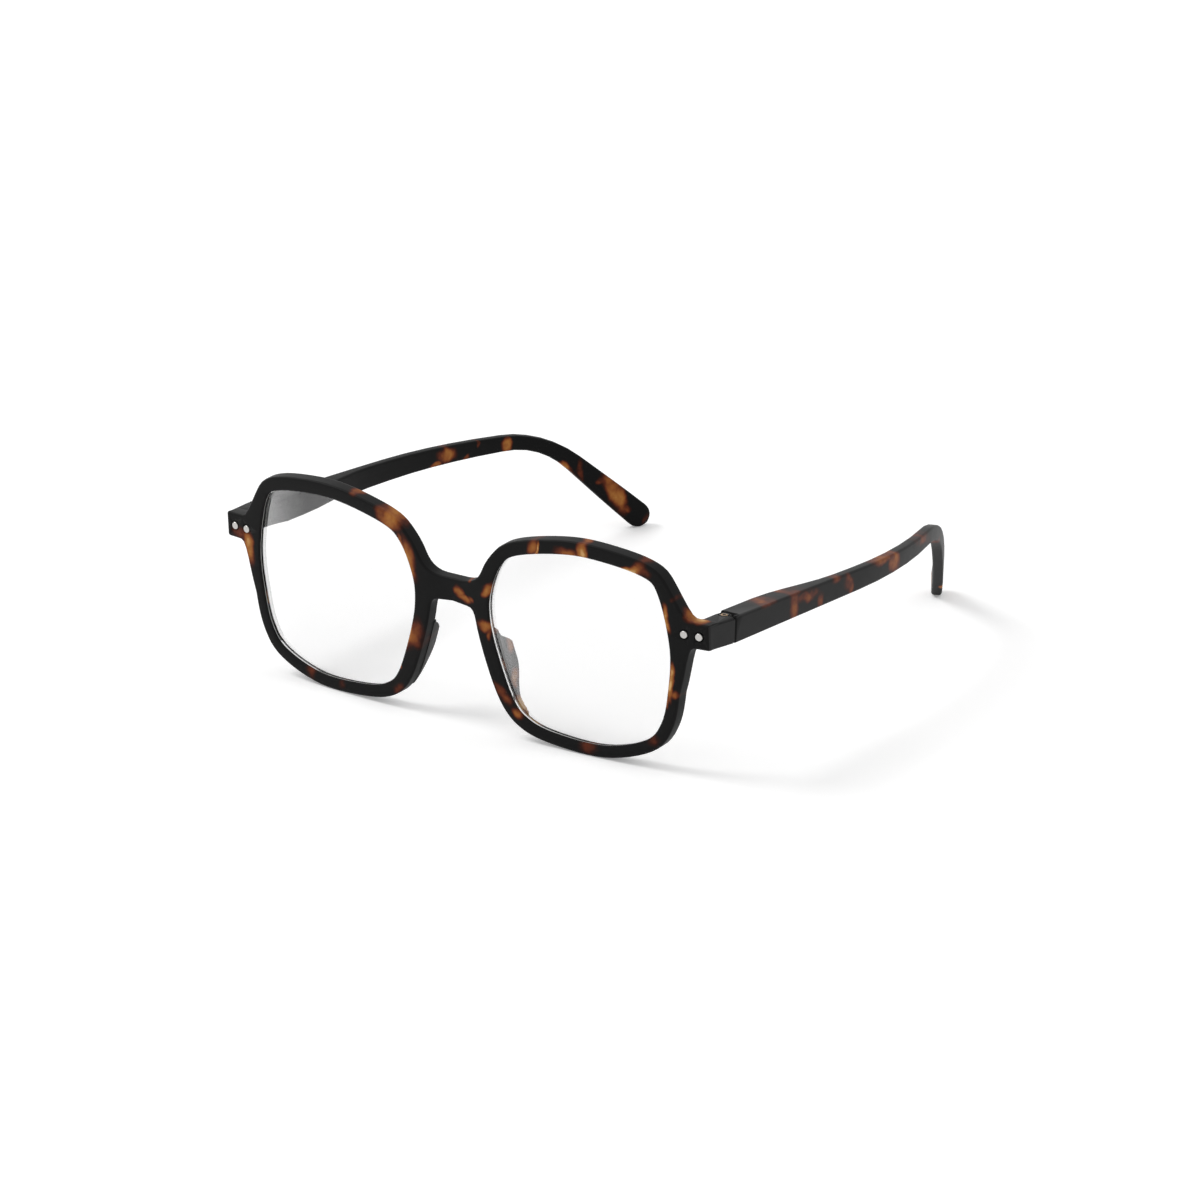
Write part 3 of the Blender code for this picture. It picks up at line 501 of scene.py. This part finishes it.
temple_patches = {
    "left": (
        (-45.0, 38.2, 3.6, 1.5, 0, 0.5),
        (-43.4, 39.2, 3.0, 1.0, 0, 0.62),
        (-33.0, 37.8, 3.6, 1.6, 0, 0.48),
        (-35.2, 33.6, 2.0, 4.6, 4, 0.54),
        (-29.8, 34.8, 5.0, 1.5, 8, 0.46),
        (-24.6, 32.0, 1.4, 2.4, 10, 0.45),
        (-16.8, 35.2, 2.6, 1.3, 0, 0.46),
        (-11.4, 33.2, 2.6, 2.0, 24, 0.44),
        (-10.4, 31.8, 1.4, 1.8, 0, 0.5),
        (5.4, 33.8, 6.0, 1.5, 6, 0.54),
        (10.6, 31.6, 3.2, 3.6, -20, 0.6),
        (30.0, 31.0, 6.0, 1.8, 15, 0.44),
        (47.0, 23.4, 2.0, 2.4, 0, 0.38),
        (71.8, 4.4, 2.2, 2.2, 0, 0.7),
        (67.2, 3.9, 1.2, 1.5, 0, 0.8, 50.8, 0.8),
    ),
    "right": (
        (15.2, 31.0, 3.0, 2.0, 0, 0.68),
        (11.6, 29.2, 1.8, 0.8, 0, 0.62),
        (26.4, 31.2, 0.5, 1.3, 0, 0.38),
        (22.0, 28.8, 1.2, 0.6, 0, 0.43),
        (34.8, 29.2, 1.5, 1.8, 12, 0.72),
        (52.8, 19.2, 0.9, 2.6, -42, 0.68),
        (56.2, 18.2, 0.9, 3.2, 0, 0.42),
        (64.6, 10.4, 2.1, 5.2, -22, 0.72),
        (61.2, 14.2, 1.3, 1.2, 0, 0.48),
        (67.8, 5.6, 1.1, 1.1, 0, 0.44),
        (72.2, 2.6, 0.6, 1.8, 0, 0.36),
    ),
}
# The left temple has more shine than the right, though both are the same plastic: a painted sheen.
temple_sheen_and_core = {"left": {"shine": 0.15, "core": 0.88}, "right": {"shine": 0.06, "core": 0.8}}
for side, patches in temple_patches.items():
    temple = smooth_copy(f"temple_{side}", sharp_degrees=50)
    temple_material = tortoise(f"temple_tortoise_{side}", patches, across_axis=1, **temple_sheen_and_core[side])
    temple.data.materials.append(temple_material)
    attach(temple, f"arm_{side}")
    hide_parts(f"temple_{side}")


# The studio is a white floor under an even dome of light, with one large soft lamp high at the
# camera's left. Seen directly, in glass or in a shine, the floor and the dome are a little brighter.

def seen_directly(tree):
    """1 for rays from the camera, or by way of glass or a shine, and 0 for the rest."""
    rays = wired(tree, "ShaderNodeLightPath").outputs
    direct = wired(tree, "ShaderNodeMath", {0: rays["Is Camera Ray"], 1: rays["Is Glossy Ray"]},
                   operation="MAXIMUM")
    return wired(tree, "ShaderNodeMath", {0: direct.outputs[0], 1: rays["Is Transmission Ray"]},
                 operation="MAXIMUM").outputs[0]


floor_radius = 6.0
floor_drop = 0.02 * mm
floor_glow = 0.2
floor_mesh = bpy.data.meshes.new("floor")
shape = bmesh.new()
bmesh.ops.create_circle(shape, cap_ends=True, segments=64, radius=floor_radius)
shape.to_mesh(floor_mesh)
shape.free()
floor = in_scene("floor", floor_mesh)
floor.location.z = -floor_drop
white, white_tree, white_shader = new_material("white_sweep")
white_shader.inputs["Base Color"].default_value = (0.97, 0.97, 0.97, 1)
white_shader.inputs["Roughness"].default_value = 0.9
white_shader.inputs["Specular IOR Level"].default_value = 0.0
white_shader.inputs["Emission Color"].default_value = (1, 1, 1, 1)
glow = wired(white_tree, "ShaderNodeMath", {0: seen_directly(white_tree), 1: floor_glow},
             operation="MULTIPLY")
white_tree.links.new(glow.outputs[0], white_shader.inputs["Emission Strength"])
floor_mesh.materials.append(white)

world = bpy.data.worlds.new("dome")
world.use_nodes = True
bpy.context.scene.world = world
dome = world.node_tree
backdrop = dome.nodes["Background"]
level = wired(dome, "ShaderNodeMapRange", {"Value": seen_directly(dome), "To Min": 0.7, "To Max": 1.0})
dome.links.new(level.outputs["Result"], backdrop.inputs["Strength"])
backdrop.inputs["Color"].default_value = (1, 1, 1, 1)

azimuth, elevation = math.radians(35.064), math.radians(19.977)
camera_right = Vector((math.cos(azimuth), math.sin(azimuth), 0))
camera_back = Vector((math.sin(azimuth) * math.cos(elevation), -math.cos(azimuth) * math.cos(elevation),
                      math.sin(elevation)))
camera_up = camera_back.cross(camera_right)


def turned_to(right, up, back, place):
    """The matrix of a camera or lamp that looks against its back direction."""
    return Matrix.Translation(place) @ Matrix((right, up, back)).transposed().to_4x4()


key = bpy.data.lights.new("key", "AREA")
key.shape = "DISK"
key.size = 0.8
key.energy = 13
key_left = 0.75
key_beyond = 0.15
key_distance = 2.0
lamp = in_scene("key", key)
key_from = (-camera_right * key_left + Vector((0, 0, 1)) - key_beyond * camera_back).normalized()
key_right = key_from.cross(Vector((0, 1, 0))).normalized()
lamp.matrix_world = turned_to(key_right, key_from.cross(key_right), key_from, key_from * key_distance)


# The camera stands in front of the glasses, above them and to the wearer's left, and looks down at
# them through a long lens.

camera = bpy.data.cameras.new("camera")
camera.sensor_width = 36
camera.lens = 156
camera.clip_start = 0.05
camera_distance = 1.2305
viewer = in_scene("camera", camera)
aim = Vector((28.42, -52.72, 31.62)) * mm
viewer.matrix_world = turned_to(camera_right, camera_up, camera_back, aim + camera_back * camera_distance)
bpy.context.scene.camera = viewer
bpy.context.scene.view_settings.view_transform = "Standard"
